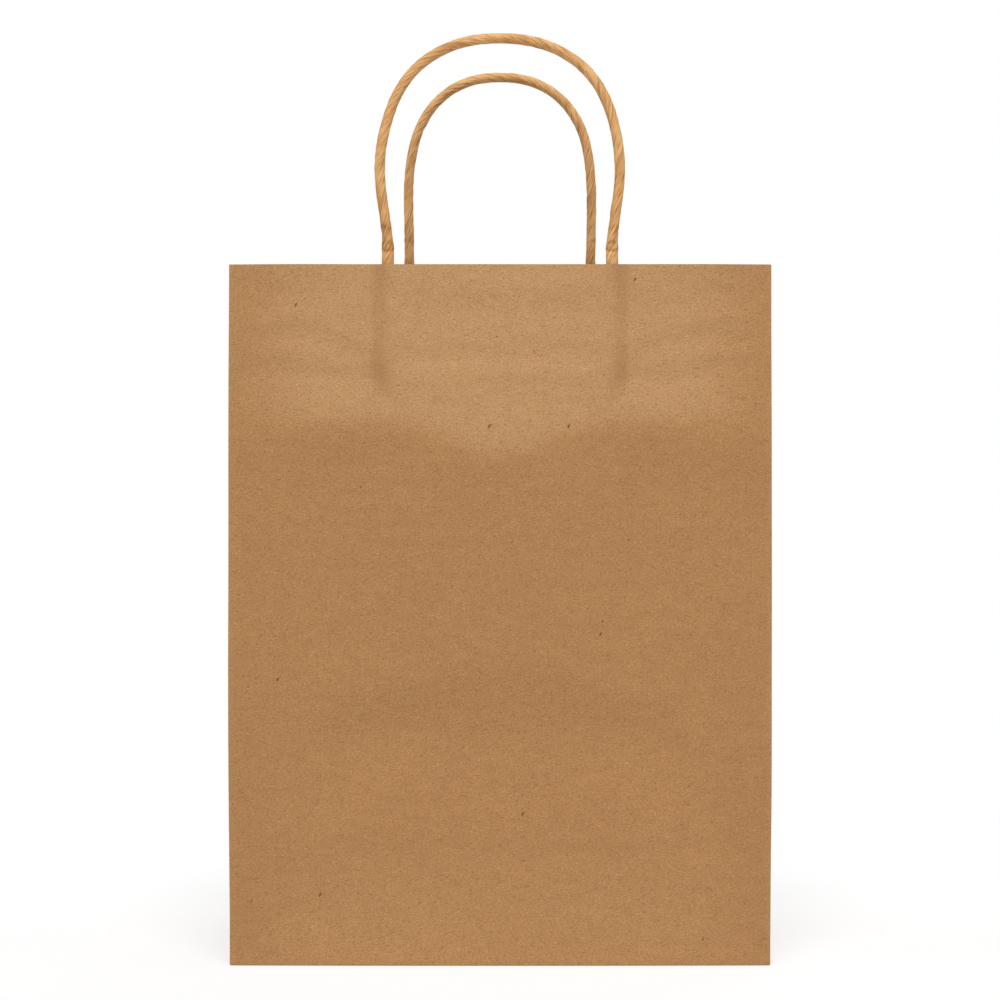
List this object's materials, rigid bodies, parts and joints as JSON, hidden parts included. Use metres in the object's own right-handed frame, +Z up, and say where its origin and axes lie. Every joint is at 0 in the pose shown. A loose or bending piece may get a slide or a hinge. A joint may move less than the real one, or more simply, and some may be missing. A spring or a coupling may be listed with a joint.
{
  "type": "paper carrier bag with twisted handles",
  "caption": "Plain brown kraft paper carrier bag with a flat block base, folded side gussets, a turned-in top edge and twisted paper cord handles, standing open.",
  "frame": {"origin": "middle of the flat base, on the surface that the bag stands on", "axes": "+Z up to the handles, -Y to the front panel, +X along the width of the panels"},
  "size_m": [0.205, 0.132, 0.3556],
  "materials": {
    "kraft_paper": "uncoated brown kraft paper, machine glazed side out, with fine fibres and a few dark flecks",
    "twisted_paper_cord": "kraft paper twisted hard into a cord, lighter on the crests than in the grooves",
    "patch_paper": "uncoated brown kraft paper, glued flat"
  },
  "bodies": {
    "root": {"paper_bag": "kraft_paper", "front_handle_cord": "twisted_paper_cord", "front_patch_base_strip": "patch_paper", "front_patch_cover_strip": "patch_paper", "rear_handle_cord": "twisted_paper_cord", "rear_patch_base_strip": "patch_paper", "rear_patch_cover_strip": "patch_paper"}
  },
  "joints": []
}
